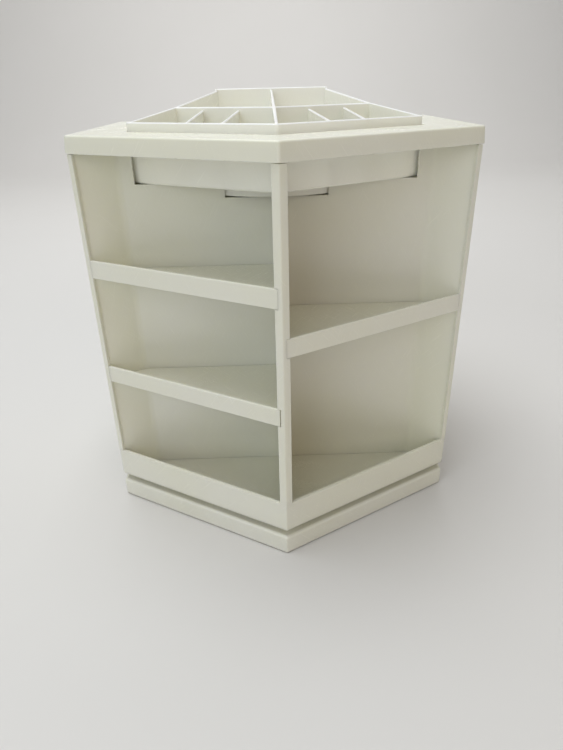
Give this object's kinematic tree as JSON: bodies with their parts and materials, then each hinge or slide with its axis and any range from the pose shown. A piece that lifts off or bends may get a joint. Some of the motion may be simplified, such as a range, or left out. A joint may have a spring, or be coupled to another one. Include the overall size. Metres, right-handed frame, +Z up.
{
  "type": "rotating makeup organizer",
  "caption": "Six-sided ivory plastic tower of open shelves that turns on a ball bearing base, with a lift-out compartment tray sloping up from its cap, for cosmetics.",
  "frame": {"origin": "on the table under the spindle, the middle of the footprint", "axes": "+Z up along the spindle, the front corner of the carousel towards -Y, +X to the right seen from the front"},
  "size_m": [0.2862, 0.3296, 0.3252],
  "materials": {
    "ivory_plastic": "semi-gloss",
    "tray_plastic": "semi-gloss",
    "foot_rubber": "matte",
    "bearing_plastic": "matte",
    "steel": "bright"
  },
  "bodies": {
    "base": {"base_shell": "ivory_plastic", "rubber_feet": "foot_rubber", "lower_race": "bearing_plastic", "spindle": "steel", "thrust_washer": "steel", "retaining_clip": "steel"},
    "ball_cage": {"ball_cage": "bearing_plastic", "bearing_balls": "steel"},
    "carousel": {"floor_tub": "ivory_plastic", "upper_race": "bearing_plastic", "hub_bushing": "bearing_plastic", "core_screws": "steel", "core_wall_front": "ivory_plastic", "core_wall_right": "ivory_plastic", "core_wall_left": "ivory_plastic", "divider_front": "ivory_plastic", "divider_right": "ivory_plastic", "divider_left": "ivory_plastic", "fin_left": "ivory_plastic", "fin_right": "ivory_plastic", "fin_back": "ivory_plastic", "shelf_front_left_upper": "ivory_plastic", "shelf_front_left_lower": "ivory_plastic", "shelf_front_right": "ivory_plastic", "shelf_right_upper": "ivory_plastic", "shelf_right_lower": "ivory_plastic", "shelf_back_right": "ivory_plastic", "shelf_back_left_upper": "ivory_plastic", "shelf_back_left_lower": "ivory_plastic", "shelf_left": "ivory_plastic", "top_deck": "ivory_plastic"},
    "tray": {"tray": "tray_plastic"}
  },
  "joints": [
    {"name": "carousel_turn", "type": "hinge", "parent": "base", "child": "carousel", "pos_m": [0, 0, 0.0221], "axis": [0, 0, 1], "continuous": true},
    {"name": "cage_roll", "type": "hinge", "parent": "base", "child": "ball_cage", "pos_m": [0, 0, 0.01935], "axis": [0, 0, 1], "continuous": true},
    {"name": "tray_lift", "type": "slide", "parent": "carousel", "child": "tray", "axis": [0, 0, 1], "range_m": [0, 0.06]}
  ],
  "couplings": [
    {"joint": "cage_roll", "follows": "carousel_turn", "ratio": 0.5}
  ]
}
